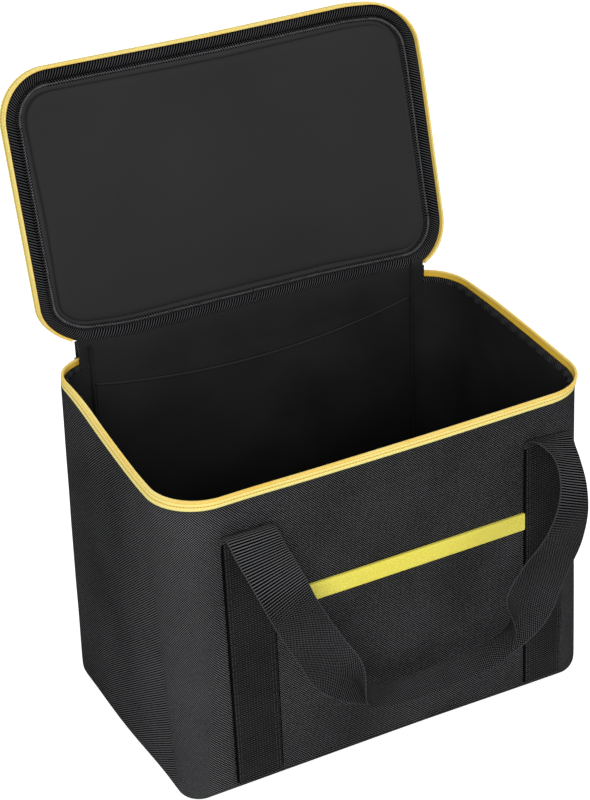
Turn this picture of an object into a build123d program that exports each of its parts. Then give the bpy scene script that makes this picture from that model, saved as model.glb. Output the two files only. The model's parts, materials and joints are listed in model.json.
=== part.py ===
"""Soft tool case with a hinged lid, a zip round its mouth and two webbing handles.

Millimetres. X runs to the right along the front, -Y is the front, +Z is up. The origin is on the
floor under the middle of the case. The lid is at rest in its open place, leaning back.
"""

import os
from math import cos, radians, sin, tan

from build123d import *

os.makedirs("parts", exist_ok=True)

# The body, measured over its cloth at the rim; the walls lean out a little towards the floor
rim_width = 340.0
rim_depth = 212.0
rim_height = 242.0
corner_radius = 38.0
wall_lean = 1.6
bottom_radius = 8.0
base_rise = 4.0

# Layers of the wall, from outside to inside
cloth = 1.4
board = 3.2
lining_thickness = 0.8
layer_gap = 0.2
floor_board_margin = 1.0
board_drop = 9.0
lining_rise = 1.0

# Zip: the woven tapes, the rows of teeth and the level where the two rows meet
tape_inset = 0.3
tape_thickness = 1.2
tongue_thickness = 1.0
tongue_depth = 8.0
tape_rise = 7.0
coil_width = 2.4
coil_height = 1.9
seam_gap = 0.1
zip_opening = 1.4
zip_corner_start = 26.0

# Soft roll round the inside of the rim
binding_width = 3.6
binding_height = 2.2

# Cloth hinge along the back
hinge_end_margin = 2.0
hinge_inset = 2.5
hinge_above_coil = 6.9
hinge_tape_inset = 0.4
hinge_reach = 2.8
lid_open = 105.36
back_cut_margin = 2.4

# Lid, given as it lies closed over the body
lid_panel_thickness = 1.6
lid_crown = 2.0
lid_crown_inset = 14.0
lid_board_inset = 3.0
lid_board_thickness = 1.8
lid_tape_rise = 1.1
lid_binding_clearance = 0.6
lid_binding_width = 6.8
lid_binding_height = 2.4
lid_groove = 0.8
lid_piping_width = 1.6
lid_piping_height = 2.2
lid_pad_gap = 0.4
lid_pad_thickness = 3.2
lid_rounding = 1.1

# Webbing of the straps and handles, and where the handles leave the wall
webbing_width = 38.0
webbing = 1.8
sewn_gap = 0.15
strap_end_margin = 11.0
front_shift = 6.0
handle_axis_stand = 26.9
handle_axis_drop = 27.5
fold_gap = 2.4

# Handle loop as it hangs: how far it stands out and drops, and its folded grip
handle_reach = 33.0
handle_drop = 131.0
grip_width = 19.0
grip_thickness = 4.6
fold_end_back = 0.6

# Pockets and pipings
pocket_cloth = 1.2
pocket_top = 158.0
trim_height = 14.0
trim_thickness = 1.1
trim_fold = 1.1
inner_pocket_margin = 10.0
inner_pocket_rise = 2.2
inner_pocket_drop = 20.0
inner_pocket_cloth = 0.8
inner_pocket_stand = 0.4
hem_height = 5.0
hem_thickness = 1.6
piping_width = 3.0
piping_depth = 2.5
piping_margin = 2.0
piping_rise = 1.2

# Zip sliders, parked at the back corners, and their pull tabs
slider_park = 14.0
slider_half_angle = 7.4
slider_plate = 1.3
slider_clearance = 0.5
slider_half_height = 4.6
bridge_half_angle = 3.0
bridge_thickness = 0.8
ear_thickness = 1.2
ear_height = 3.4
ear_gap = 0.3
pin_diameter = 1.2
pin_drop = 1.7
pin_stand = 2.0
pull_bore = 1.5
pull_eye = 3.4
pull_width = 4.6
pull_length = 24.0
pull_thickness = 1.4
pull_rounding = 1.2
tab_width = 8.0
tab_overlap = 2.0
tab_height = 10.0
tab_drop = 2.0
tab_thickness = 1.0

# Levels and places that follow from the sizes above
corner_x = rim_width / 2 - corner_radius
corner_y = rim_depth / 2 - corner_radius
base_height = bottom_radius + base_rise
board_inset = cloth + layer_gap
board_top = rim_height - board_drop
lining_inset = board_inset + board + layer_gap
lining_low = cloth + board + 2 * layer_gap
lining_floor = lining_low + lining_thickness
lining_top = rim_height + lining_rise
tongue_low = rim_height - tongue_depth
rim_roll_inset = board_inset + tongue_thickness + layer_gap
body_tape_top = rim_height + tape_rise
body_coil_top = body_tape_top + seam_gap + coil_height
zip_level = body_coil_top + zip_opening / 2
lid_coil_low = body_coil_top + zip_opening
lid_tape_low = lid_coil_low + coil_height - 2 * seam_gap
hinge_half_width = corner_x - hinge_end_margin
hinge_height = lid_coil_low + hinge_above_coil
lid_panel_inset = tape_inset + tape_thickness + layer_gap
lid_binding_inset = coil_width + slider_clearance + slider_plate + lid_binding_clearance
lid_tape_top = hinge_height + lid_tape_rise
lid_panel_low = hinge_height - seam_gap
lid_board_low = lid_panel_low - layer_gap - lid_board_thickness
lid_soft_top = lid_board_low - layer_gap
hinge_y = rim_depth / 2 - hinge_inset
strap_half_spacing = corner_x - strap_end_margin
handle_axis_y = rim_depth / 2 + handle_axis_stand
handle_axis_height = rim_height - handle_axis_drop
inner_pocket_half_width = corner_x - inner_pocket_margin
inner_pocket_top = rim_height - inner_pocket_drop
piping_place = corner_x - piping_margin
slider_low = zip_level - slider_half_height
slider_high = zip_level + slider_half_height
pin_height = zip_level - pin_drop
tab_end = corner_x + tab_overlap
tab_start = tab_end - tab_width
tab_low = rim_height - tab_drop
tab_high = tab_low + tab_height
grip_places = (
    (1.0, 0.0, 0.0, (1.0, 0.0, 0.0), 0.0),
    (0.971, 0.45, 0.111, (0.93, 0.17, 0.32), 0.0),
    (0.888, 0.727, 0.311, (0.92, 0.03, 0.39), 0.0),
    (0.785, 0.758, 0.517, (0.88, -0.2, 0.43), 0.0),
    (0.665, 0.788, 0.727, (0.8, -0.3, 0.52), 0.1),
    (0.512, 0.894, 0.876, (0.6, -0.05, 0.8), 0.75),
    (0.33, 0.955, 0.957, (0.36, 0.0, 0.93), 1.0),
    (0.165, 0.99, 0.99, (0.18, 0.0, 0.98), 1.0),
    (0.0, 1.0, 1.0, (0.0, 0.0, 1.0), 1.0),
)


def body_plane(height):
    """The level plane at a height above the floor."""
    return Plane.XY.offset(height)


def lid_plane(height):
    """The plane at a height on the closed lid, turned with the lid to its open place."""
    turn = radians(lid_open)
    rise = height - hinge_height
    origin = (
        0,
        hinge_y - hinge_y * cos(turn) + rise * sin(turn),
        hinge_height + hinge_y * sin(turn) + rise * cos(turn),
    )
    return Plane(origin, x_dir=(1, 0, 0), z_dir=(0, sin(turn), cos(turn)))


def case_outline(inset, height):
    """Draw the rounded plan of the case at a height, moved in from the outer cloth by an inset."""
    grow = max(rim_height - height, 0) * tan(radians(wall_lean)) - inset
    RectangleRounded(rim_width + 2 * grow, rim_depth + 2 * grow, corner_radius + grow)


def wall_block(inset, low, high, rounding=0.0):
    """A solid that fills the leaning case between two heights, rounded round its bottom edge."""
    with BuildPart() as block:
        for height in (low, high):
            with BuildSketch(body_plane(height)):
                case_outline(inset, height)
        loft(ruled=True)
        if rounding:
            fillet(block.edges().group_by(Axis.Z)[0], rounding)
    return block.part


def wall_ring(outer, inner, low, high, floor=0.0):
    """A leaning wall between two insets, with a floor of its own where one is given."""
    with BuildPart() as ring:
        add(wall_block(outer, low, high))
        add(wall_block(inner, low + floor, high), mode=Mode.SUBTRACT)
    return ring.part


def wall_panel(outer, inner, low, high, across, along):
    """The stretch of a wall ring inside a window, given as ranges of X and Y."""
    middle = ((across[0] + across[1]) / 2, (along[0] + along[1]) / 2)
    with BuildPart() as panel:
        add(wall_ring(outer, inner, low, high))
        with BuildSketch(body_plane(low)):
            with Locations(middle):
                Rectangle(across[1] - across[0], along[1] - along[0])
        extrude(amount=high - low, mode=Mode.INTERSECT)
    return panel.part


def band(plane_at, outer, inner, low, high):
    """An upright ring above the rim, on the body's or on the lid's planes."""
    with BuildPart() as ring:
        with BuildSketch(plane_at(low)):
            case_outline(outer, rim_height)
            case_outline_hole(inner)
        extrude(amount=high - low)
    return ring.part


def case_outline_hole(inset):
    """Cut the plan of the rim, moved in by an inset, out of the sketch."""
    RectangleRounded(
        rim_width - 2 * inset, rim_depth - 2 * inset, corner_radius - inset, mode=Mode.SUBTRACT
    )


def back_cutter(plane_at, half_width, low, high):
    """A block over the straight run at the back, where there is no zip."""
    with BuildPart() as cutter:
        with BuildSketch(plane_at(low)):
            with Locations((0, rim_depth / 2)):
                Rectangle(2 * half_width, 2 * corner_radius - back_cut_margin)
        extrude(amount=high - low)
    return cutter.part


def corner_sector(side, outer, inner, half_angle, low, high):
    """A stretch of ring at a back corner, centred on the parked slider."""
    reach = 2 * corner_radius
    centre = (side * corner_x, corner_y)
    edges = [
        (centre[0] + side * reach * sin(angle), centre[1] + reach * cos(angle))
        for angle in (radians(slider_park - half_angle), radians(slider_park + half_angle))
    ]
    with BuildPart() as sector:
        with BuildSketch(body_plane(low)):
            with Locations(centre):
                Circle(corner_radius - outer)
                Circle(corner_radius - inner, mode=Mode.SUBTRACT)
            with BuildLine():
                Polyline(centre, edges[0], edges[1], close=True)
            make_face(mode=Mode.INTERSECT)
        extrude(amount=high - low)
    return sector.part


def slider_face(side, inset, height):
    """The upright plane at the parked slider, facing outwards, with its Y axis up."""
    turn = radians(slider_park)
    reach = corner_radius - inset
    origin = (side * (corner_x + reach * sin(turn)), corner_y + reach * cos(turn), height)
    return Plane(
        origin, x_dir=(-cos(turn), side * sin(turn), 0), z_dir=(side * sin(turn), cos(turn), 0)
    )


def slider_section(side, inset, height):
    """The upright plane across the slider's pin."""
    face = slider_face(side, inset, height)
    return Plane(face.origin, x_dir=face.z_dir, z_dir=face.x_dir)


def strap(side, centre, middle):
    """Webbing sewn up a wall, ending in the short stub where the handle folds over."""
    across = (middle - webbing_width / 2, middle + webbing_width / 2)
    along = (-rim_depth, 0) if side < 0 else (0, rim_depth)
    round_centre = handle_axis_y - fold_gap
    upright = wall_panel(
        -sewn_gap - webbing, -sewn_gap, bottom_radius, handle_axis_height, across, along
    )
    inside = wall_block(-sewn_gap, handle_axis_height - webbing, handle_axis_height + webbing)
    with BuildPart() as sewn:
        with BuildSketch(Plane.YZ.offset(across[0])):
            with Locations((side * round_centre, handle_axis_height)):
                Circle(webbing / 2)
            with Locations((side * (round_centre + corner_y) / 2, handle_axis_height)):
                Rectangle(round_centre - corner_y, webbing)
        extrude(amount=webbing_width)
        add(inside, mode=Mode.SUBTRACT)
        add(upright)
    return sewn.part


def handle_stations(side, centre):
    """Points, width directions and fold shares along a handle, from its left end to its right."""
    left = []
    for across, out, down, (inward, outward, up), fold in grip_places:
        point = Vector(
            -across * strap_half_spacing,
            side * (handle_axis_y + out * handle_reach),
            handle_axis_height - down * handle_drop,
        )
        left.append((point, Vector(inward, side * outward, up), fold))
    right = [
        (Vector(-point.X, point.Y, point.Z), Vector(-width.X, width.Y, width.Z), fold)
        for point, width, fold in reversed(left[:-1])
    ]
    shift = Vector(centre, 0, 0)
    return [(point + shift, width, fold) for point, width, fold in left + right]


def handle_section(point, width, along, fold, slim=1.0):
    """One rectangle of the handle, from flat webbing to the grip folded in two."""
    square = (width - along * width.dot(along)).normalized()
    across = webbing_width + fold * (grip_width - webbing_width)
    thick = (webbing + fold * (grip_thickness - webbing)) * slim
    with BuildSketch(Plane(point, x_dir=square, z_dir=along)) as section:
        Rectangle(across, thick)
    return section.sketch


def handle_loop(side, centre):
    """The webbing loop of one handle, hanging down in front of its wall."""
    stations = handle_stations(side, centre)
    last = len(stations) - 1
    sections = []
    for index, (point, width, fold) in enumerate(stations):
        before = stations[max(index - 1, 0)][0]
        after = stations[min(index + 1, last)][0]
        along = (after - before).normalized()
        if index in (0, last):
            along = Vector(0, along.Y, along.Z).normalized()
        if index == 0:
            sections.append(handle_section(point - along * fold_end_back, width, along, fold, 0.5))
        sections.append(handle_section(point, width, along, fold))
        if index == last:
            sections.append(handle_section(point + along * fold_end_back, width, along, fold, 0.5))
    with BuildPart() as loop:
        loft(sections=[section.face() for section in sections], ruled=True)
    return loop.part


# Cloth tray under the case, which stands on the floor
tray = wall_block(0, 0, base_height, bottom_radius)
tray_inside = wall_block(cloth, cloth, base_height, bottom_radius - cloth)
with BuildPart() as base_panel:
    add(tray)
    add(tray_inside, mode=Mode.SUBTRACT)
base_panel.part.label = "base_panel"
export_step(base_panel.part, "parts/base_panel.step")

# Outer cloth of the four walls
wall_skin = wall_ring(0, cloth, base_height + layer_gap, rim_height)
with BuildPart() as outer_wall:
    add(wall_skin)
outer_wall.part.label = "outer_wall"
export_step(outer_wall.part, "parts/outer_wall.step")

# Stiff board over the floor
floor_plate = wall_block(bottom_radius + floor_board_margin, board_inset, board_inset + board)
with BuildPart() as base_board:
    add(floor_plate)
base_board.part.label = "base_board"
export_step(base_board.part, "parts/base_board.step")

# Stiff boards in the straight stretches of the walls
board_low = bottom_radius + layer_gap
board_windows = {
    "front_board": ((-corner_x, corner_x), (-rim_depth, -corner_y)),
    "back_board": ((-corner_x, corner_x), (corner_y, rim_depth)),
    "left_board": ((-rim_width, -corner_x), (-corner_y, corner_y)),
    "right_board": ((corner_x, rim_width), (-corner_y, corner_y)),
}
for board_name, (across, along) in board_windows.items():
    plate = wall_panel(board_inset, board_inset + board, board_low, board_top, across, along)
    with BuildPart() as wall_board:
        add(plate)
    wall_board.part.label = board_name
    export_step(wall_board.part, f"parts/{board_name}.step")

# Foam strips that fill the four rounded corners between the boards
foam_strips = []
for across_side in (-1, 1):
    for along_side in (-1, 1):
        across = sorted((across_side * (corner_x + layer_gap), across_side * rim_width))
        along = sorted((along_side * (corner_y + layer_gap), along_side * rim_depth))
        foam_strips.append(
            wall_panel(board_inset, board_inset + board, board_low, board_top, across, along)
        )
with BuildPart() as corner_foams:
    for foam_strip in foam_strips:
        add(foam_strip)
corner_foams.part.label = "corner_foams"
export_step(corner_foams.part, "parts/corner_foams.step")

# Smooth lining of the walls and the floor
lining_shell = wall_ring(
    lining_inset,
    lining_inset + lining_thickness,
    lining_low,
    lining_top,
    floor=lining_thickness,
)
with BuildPart() as lining:
    add(lining_shell)
lining.part.label = "lining"
export_step(lining.part, "parts/lining.step")

# Bound edge round the inside of the rim
roll_tail = wall_ring(
    rim_roll_inset, lining_inset - layer_gap, board_top + 2 * layer_gap, lining_top + layer_gap
)
roll_low = lining_top + layer_gap
roll_cap = band(
    body_plane, rim_roll_inset, rim_roll_inset + binding_width, roll_low, roll_low + binding_height
)
with BuildPart() as rim_binding:
    add(roll_tail)
    add(roll_cap)
rim_binding.part.label = "rim_binding"
export_step(rim_binding.part, "parts/rim_binding.step")

# Zip tape on the body: an upright band with a tongue sewn in behind the outer cloth
tape_low = rim_height + layer_gap
tape_band = band(body_plane, tape_inset, tape_inset + tape_thickness, tape_low, body_tape_top)
tape_ledge = band(body_plane, tape_inset, board_inset + tongue_thickness, tape_low, lining_top)
tape_tongue = wall_ring(board_inset, board_inset + tongue_thickness, tongue_low, tape_low)
tape_end = corner_x + 2 * layer_gap
tape_cutter = back_cutter(body_plane, tape_end, tongue_low, body_tape_top)
with BuildPart() as body_zip_tape:
    add(tape_band)
    add(tape_ledge)
    add(tape_tongue)
    add(tape_cutter, mode=Mode.SUBTRACT)
body_zip_tape.part.label = "body_zip_tape"
export_step(body_zip_tape.part, "parts/body_zip_tape.step")

# Row of zip teeth on the body
body_coil_low = body_tape_top + seam_gap
coil_band = band(body_plane, 0, coil_width, body_coil_low, body_coil_top)
coil_cutter = back_cutter(body_plane, tape_end, body_coil_low, body_coil_top)
with BuildPart() as body_zip_coil:
    add(coil_band)
    add(coil_cutter, mode=Mode.SUBTRACT)
body_zip_coil.part.label = "body_zip_coil"
export_step(body_zip_coil.part, "parts/body_zip_coil.step")

# Lower half of the cloth hinge, standing up from the back of the rim
back_window = ((-hinge_half_width, hinge_half_width), (corner_y, rim_depth))
hinge_band = wall_panel(
    hinge_tape_inset,
    hinge_tape_inset + tape_thickness,
    tape_low,
    hinge_height - hinge_reach,
    *back_window,
)
hinge_ledge = wall_panel(
    hinge_tape_inset, board_inset + tongue_thickness, tape_low, lining_top, *back_window
)
hinge_tongue = wall_panel(
    board_inset, board_inset + tongue_thickness, tongue_low, tape_low, *back_window
)
with BuildPart() as hinge_strip_lower:
    add(hinge_band)
    add(hinge_ledge)
    add(hinge_tongue)
hinge_strip_lower.part.label = "hinge_strip_lower"
export_step(hinge_strip_lower.part, "parts/hinge_strip_lower.step")

# Small cloth tabs that close the ends of the zip at the back corners
end_tabs = [
    wall_panel(
        -layer_gap - tab_thickness,
        -layer_gap,
        tab_low,
        tab_high,
        sorted((side * tab_start, side * tab_end)),
        (corner_y, rim_depth),
    )
    for side in (-1, 1)
]
with BuildPart() as zip_end_tabs:
    for end_tab in end_tabs:
        add(end_tab)
zip_end_tabs.part.label = "zip_end_tabs"
export_step(zip_end_tabs.part, "parts/zip_end_tabs.step")

# Webbing straps sewn up the front and back walls
for wall_name, side, shift in (("front", -1, front_shift), ("back", 1, 0.0)):
    for end_name, end in (("left", -1), ("right", 1)):
        strap_name = f"{wall_name}_strap_{end_name}"
        sewn_webbing = strap(side, shift, shift + end * strap_half_spacing)
        with BuildPart() as wall_strap:
            add(sewn_webbing)
        wall_strap.part.label = strap_name
        export_step(wall_strap.part, f"parts/{strap_name}.step")

# Flat pocket on the front wall, between the straps
strap_inner = strap_half_spacing - webbing_width / 2 - layer_gap
pocket_window = ((front_shift - strap_inner, front_shift + strap_inner), (-rim_depth, 0))
pocket_sheet = wall_panel(
    -sewn_gap - pocket_cloth, -sewn_gap, base_height, pocket_top, *pocket_window
)
with BuildPart() as front_pocket:
    add(pocket_sheet)
front_pocket.part.label = "front_pocket"
export_step(front_pocket.part, "parts/front_pocket.step")

# Bright trim folded over the top edge of the pocket
trim_inner = sewn_gap + pocket_cloth + sewn_gap
trim_outer = trim_inner + trim_thickness
fold_low = pocket_top + layer_gap
trim_face = wall_panel(
    -trim_outer, -trim_inner, pocket_top - trim_height, fold_low + trim_fold, *pocket_window
)
trim_top = wall_panel(-trim_outer, -sewn_gap, fold_low, fold_low + trim_fold, *pocket_window)
with BuildPart() as pocket_trim:
    add(trim_face)
    add(trim_top)
pocket_trim.part.label = "pocket_trim"
export_step(pocket_trim.part, "parts/pocket_trim.step")

# Pocket inside, on the lining of the back wall, and its hem
inner_window = ((-inner_pocket_half_width, inner_pocket_half_width), (0, rim_depth))
inner_face = lining_inset + lining_thickness
inner_sheet = wall_panel(
    inner_face + inner_pocket_stand,
    inner_face + inner_pocket_stand + inner_pocket_cloth,
    lining_floor + inner_pocket_rise,
    inner_pocket_top,
    *inner_window,
)
with BuildPart() as inner_pocket:
    add(inner_sheet)
inner_pocket.part.label = "inner_pocket"
export_step(inner_pocket.part, "parts/inner_pocket.step")

hem_low = inner_pocket_top + layer_gap
hem_roll = wall_panel(
    inner_face + layer_gap,
    inner_face + layer_gap + hem_thickness,
    hem_low,
    hem_low + hem_height,
    *inner_window,
)
with BuildPart() as inner_pocket_hem:
    add(hem_roll)
inner_pocket_hem.part.label = "inner_pocket_hem"
export_step(inner_pocket_hem.part, "parts/inner_pocket_hem.step")

# Piping up the inside of the two back corners
for end_name, end in (("left", -1), ("right", 1)):
    piping_window = (
        (end * piping_place - piping_width / 2, end * piping_place + piping_width / 2),
        (0, rim_depth),
    )
    piping_name = f"corner_piping_{end_name}"
    cord_run = wall_panel(
        inner_face + layer_gap,
        inner_face + layer_gap + piping_depth,
        lining_floor + piping_rise,
        lining_top,
        *piping_window,
    )
    with BuildPart() as corner_piping:
        add(cord_run)
    corner_piping.part.label = piping_name
    export_step(corner_piping.part, f"parts/{piping_name}.step")

# Outer cloth of the lid, slightly crowned
with BuildPart() as lid_panel:
    panel_top = lid_panel_low + lid_panel_thickness
    for inset, height in (
        (lid_panel_inset, lid_panel_low),
        (lid_panel_inset, panel_top),
        (lid_crown_inset, panel_top + lid_crown),
    ):
        with BuildSketch(lid_plane(height)):
            case_outline(inset, rim_height)
    loft(ruled=True)
lid_panel.part.label = "lid_panel"
export_step(lid_panel.part, "parts/lid_panel.step")

# Stiff board inside the lid
with BuildPart() as lid_board:
    with BuildSketch(lid_plane(lid_board_low)):
        case_outline(lid_board_inset, rim_height)
    extrude(amount=lid_board_thickness)
lid_board.part.label = "lid_board"
export_step(lid_board.part, "parts/lid_board.step")

# Ribbed roll of binding round the inside of the lid
lid_axis = Axis((0, 0, 0), lid_plane(0).z_dir)
binding_inner = lid_binding_inset + lid_binding_width
lid_roll = band(
    lid_plane, lid_binding_inset, binding_inner, lid_soft_top - lid_binding_height, lid_soft_top
)
with BuildPart() as lid_binding:
    add(lid_roll)
    fillet(lid_binding.edges().group_by(lid_axis)[0], lid_rounding)
lid_binding.part.label = "lid_binding"
export_step(lid_binding.part, "parts/lid_binding.step")

# Stitched ridge between the binding and the pad
piping_outer = binding_inner + lid_groove
lid_ridge = band(
    lid_plane,
    piping_outer,
    piping_outer + lid_piping_width,
    lid_soft_top - lid_piping_height,
    lid_soft_top,
)
with BuildPart() as lid_piping:
    add(lid_ridge)
lid_piping.part.label = "lid_piping"
export_step(lid_piping.part, "parts/lid_piping.step")

# Padded inner face of the lid
with BuildPart() as lid_pad:
    with BuildSketch(lid_plane(lid_soft_top - lid_pad_thickness)):
        case_outline(piping_outer + lid_piping_width + lid_pad_gap, rim_height)
    extrude(amount=lid_pad_thickness)
    fillet(lid_pad.edges().group_by(lid_axis)[0], lid_rounding)
lid_pad.part.label = "lid_pad"
export_step(lid_pad.part, "parts/lid_pad.step")

# Zip tape and teeth on the lid, from one back corner round the front to the other
lid_zip_end = corner_x + corner_radius * sin(radians(zip_corner_start))
lid_tape_band = band(lid_plane, tape_inset, tape_inset + tape_thickness, lid_tape_low, lid_tape_top)
lid_tape_cutter = back_cutter(lid_plane, lid_zip_end, lid_tape_low, lid_tape_top)
with BuildPart() as lid_zip_tape:
    add(lid_tape_band)
    add(lid_tape_cutter, mode=Mode.SUBTRACT)
lid_zip_tape.part.label = "lid_zip_tape"
export_step(lid_zip_tape.part, "parts/lid_zip_tape.step")

lid_coil_top = lid_tape_low - seam_gap
lid_coil_band = band(lid_plane, 0, coil_width, lid_coil_low, lid_coil_top)
lid_coil_cutter = back_cutter(lid_plane, lid_zip_end, lid_coil_low, lid_coil_top)
with BuildPart() as lid_zip_coil:
    add(lid_coil_band)
    add(lid_coil_cutter, mode=Mode.SUBTRACT)
lid_zip_coil.part.label = "lid_zip_coil"
export_step(lid_zip_coil.part, "parts/lid_zip_coil.step")

# Upper half of the cloth hinge, along the back edge of the lid
with BuildPart() as hinge_strip_upper:
    with BuildSketch(lid_plane(hinge_height)):
        with Locations((0, rim_depth / 2 - hinge_tape_inset - tape_thickness / 2)):
            Rectangle(2 * hinge_half_width, tape_thickness)
    extrude(amount=lid_panel_thickness - seam_gap)
hinge_strip_upper.part.label = "hinge_strip_upper"
export_step(hinge_strip_upper.part, "parts/hinge_strip_upper.step")

# Zip sliders and their pulls, one pair at each back corner
plate_outer = -slider_clearance - slider_plate
plate_inner = coil_width + slider_clearance
bridge_low = body_coil_top + 3 * seam_gap
pin_inset = plate_outer - pin_stand
ear_reach = pin_stand + pin_diameter
ear_place = pull_width / 2 + ear_gap + ear_thickness / 2
for end_name, end in (("left", -1), ("right", 1)):
    outer_plate = corner_sector(
        end, plate_outer, -slider_clearance, slider_half_angle, slider_low, slider_high
    )
    inner_plate = corner_sector(
        end, plate_inner, plate_inner + slider_plate, slider_half_angle, slider_low, slider_high
    )
    bridge = corner_sector(
        end,
        -slider_clearance - ear_gap,
        plate_inner + ear_gap,
        bridge_half_angle,
        bridge_low,
        bridge_low + bridge_thickness,
    )
    slider_name = f"slider_{end_name}"
    with BuildPart() as slider:
        add(outer_plate)
        add(inner_plate)
        add(bridge)
        with BuildSketch(slider_face(end, plate_outer + ear_gap, pin_height)):
            with Locations((-ear_place, 0), (ear_place, 0)):
                Rectangle(ear_thickness, ear_height)
        extrude(amount=ear_reach + ear_gap)
        with BuildSketch(slider_section(end, pin_inset, pin_height)):
            Circle(pin_diameter / 2)
        extrude(amount=ear_place, both=True)
    slider.part.label = slider_name
    export_step(slider.part, f"parts/{slider_name}.step")

    pull_name = f"pull_{end_name}"
    with BuildPart() as pull:
        with BuildSketch(slider_face(end, pin_inset, pin_height)):
            with Locations((0, -pull_length / 2)):
                RectangleRounded(pull_width, pull_length, pull_rounding)
        extrude(amount=pull_thickness / 2, both=True)
        with BuildSketch(slider_section(end, pin_inset, pin_height)):
            Circle(pull_eye / 2)
        extrude(amount=pull_width / 2, both=True)
        with BuildSketch(slider_section(end, pin_inset, pin_height)):
            Circle(pull_bore / 2)
        extrude(amount=pull_width, both=True, mode=Mode.SUBTRACT)
    pull.part.label = pull_name
    export_step(pull.part, f"parts/{pull_name}.step")

# Carrying handles, which hang over the straps of the front and back walls
for wall_name, side, shift in (("front", -1, front_shift), ("back", 1, 0.0)):
    handle_name = f"{wall_name}_handle"
    webbing_loop = handle_loop(side, shift)
    with BuildPart() as handle:
        add(webbing_loop)
    handle.part.label = handle_name
    export_step(handle.part, f"parts/{handle_name}.step")
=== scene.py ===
"""Looks of a soft tool case with its zip lid open. Metres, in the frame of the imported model."""

import json
import math

import bmesh
import bpy
import numpy as np
from mathutils import Matrix, Vector


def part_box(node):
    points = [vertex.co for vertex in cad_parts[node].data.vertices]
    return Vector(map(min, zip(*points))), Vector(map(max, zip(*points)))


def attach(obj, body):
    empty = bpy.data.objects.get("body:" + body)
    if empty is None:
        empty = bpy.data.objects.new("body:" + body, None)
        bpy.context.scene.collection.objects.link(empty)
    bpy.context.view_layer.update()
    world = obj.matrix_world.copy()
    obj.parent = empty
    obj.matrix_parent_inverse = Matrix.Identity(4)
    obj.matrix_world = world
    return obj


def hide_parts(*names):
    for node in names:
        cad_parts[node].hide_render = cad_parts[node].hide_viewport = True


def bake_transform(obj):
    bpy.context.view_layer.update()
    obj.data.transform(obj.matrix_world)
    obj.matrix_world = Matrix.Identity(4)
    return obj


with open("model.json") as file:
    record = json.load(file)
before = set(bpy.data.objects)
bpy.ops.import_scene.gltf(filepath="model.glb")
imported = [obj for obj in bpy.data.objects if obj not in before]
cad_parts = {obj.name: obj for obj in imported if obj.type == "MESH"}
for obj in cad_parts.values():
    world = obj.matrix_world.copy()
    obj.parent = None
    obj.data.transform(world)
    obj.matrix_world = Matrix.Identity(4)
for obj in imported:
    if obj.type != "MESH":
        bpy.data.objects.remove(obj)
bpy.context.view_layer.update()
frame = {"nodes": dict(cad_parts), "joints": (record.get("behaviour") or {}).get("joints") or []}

MM = 0.001

# Sizes of the case, read from the frame
wall_low, wall_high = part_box("outer_wall")
coil_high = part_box("body_zip_coil")[1]
rim_half_x = coil_high.x
rim_half_y = coil_high.y
rim_z = wall_high.z
corner_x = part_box("front_board")[1].x
corner_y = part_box("left_board")[1].y
corner_radius = rim_half_x - corner_x
wall_slope = (wall_high.x - rim_half_x) / (rim_z - wall_low.z)
lining_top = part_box("lining")[1].z

# Sizes of the cloth parts. strap_middle is how far each strap's middle is from the middle of its
# pair, and front_shift is how far the front's straps, handle and pocket sit to the right
bottom_radius = 6.5 * MM
lining_inset = 5.8 * MM
webbing_width = 38 * MM
rib_pitch = 1.9 * MM
strap_middle = corner_x - 11 * MM
front_shift = 6 * MM

lid_joint = next(joint for joint in frame["joints"] if joint["name"] == "lid_hinge")
lid_turn = math.radians(-lid_joint["range_deg"][0])
lid_pivot = Vector(lid_joint["pos_m"])
lid_matrix = (
    Matrix.Translation(lid_pivot)
    @ Matrix.Rotation(lid_turn, 4, Vector(lid_joint["axis"]))
    @ Matrix.Translation(-lid_pivot)
)
lid_array = np.array(lid_matrix)

# Course of the rim: straight runs and corner arcs, starting at the middle of the back
arc = corner_radius * math.pi / 2
runs = [corner_x, arc, 2 * corner_y, arc, 2 * corner_x, arc, 2 * corner_y, arc, corner_x]
course = np.concatenate([[0], np.cumsum(runs)])
rim_length = float(course[-1])
corner_side = [0, -1, -1, -1, -1, 1, 1, 1, 1, 0]
corner_end = [1, 1, 1, -1, -1, -1, -1, 1, 1, 1]
heading = np.radians([90, 90, 180, 180, 270, 270, 360, 360, 450, 450])
# How much tighter, in millimetres, the two front corners are at the floor than at the rim
tighter_left = 21
tighter_right = 13
corner_tighter = [0, 0, 0, tighter_left, tighter_left, tighter_right, tighter_right, 0, 0, 0]

# How far the soft rim stands above or below its level, in millimetres, at distances along it. The
# heights come from measured differences between renders and the photograph
lift_places = [
    0, 100, 150, 175, 192, 200, 214, 228, 242, 255, 269, 282, 296, 309, 322, 345, 387, 414, 450,
    500, 551, 603, 643, 665, 690, 711, 745, 796, 847, 905, 942, 975, 1038,
]
lift_heights = [
    4, 5, 7, 10, 11, 10.6, 8.6, 6.8, 4.3, 2.4, 0.7, -0.8, -2.2, -3.4, -3.6, -3.0, -2.4, -2.2, -2.7,
    -2.8, -2.7, -2.0, -1.4, -1.2, -2.2, -2.0, -0.8, 0.7, 0.8, 2.5, 5, 6, 4,
]
rim_lean = 2.4 * MM


def smooth(value):
    """Smooth step from 0 to 1."""
    value = np.clip(value, 0, 1)
    return value * value * (3 - 2 * value)


def lift(along):
    """How far the rim stands above its level, at a distance along it."""
    total = 0
    for shift in (-12, -6, 0, 6, 12):
        place = np.mod(np.asarray(along) / MM + shift, rim_length / MM)
        total = total + np.interp(place, lift_places, lift_heights)
    return total / 5 * MM


def corner_size(down, tighter):
    """Radius of a corner at a distance below the rim, tighter at the floor by some millimetres."""
    return corner_radius - tighter * MM * down / rim_z


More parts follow.
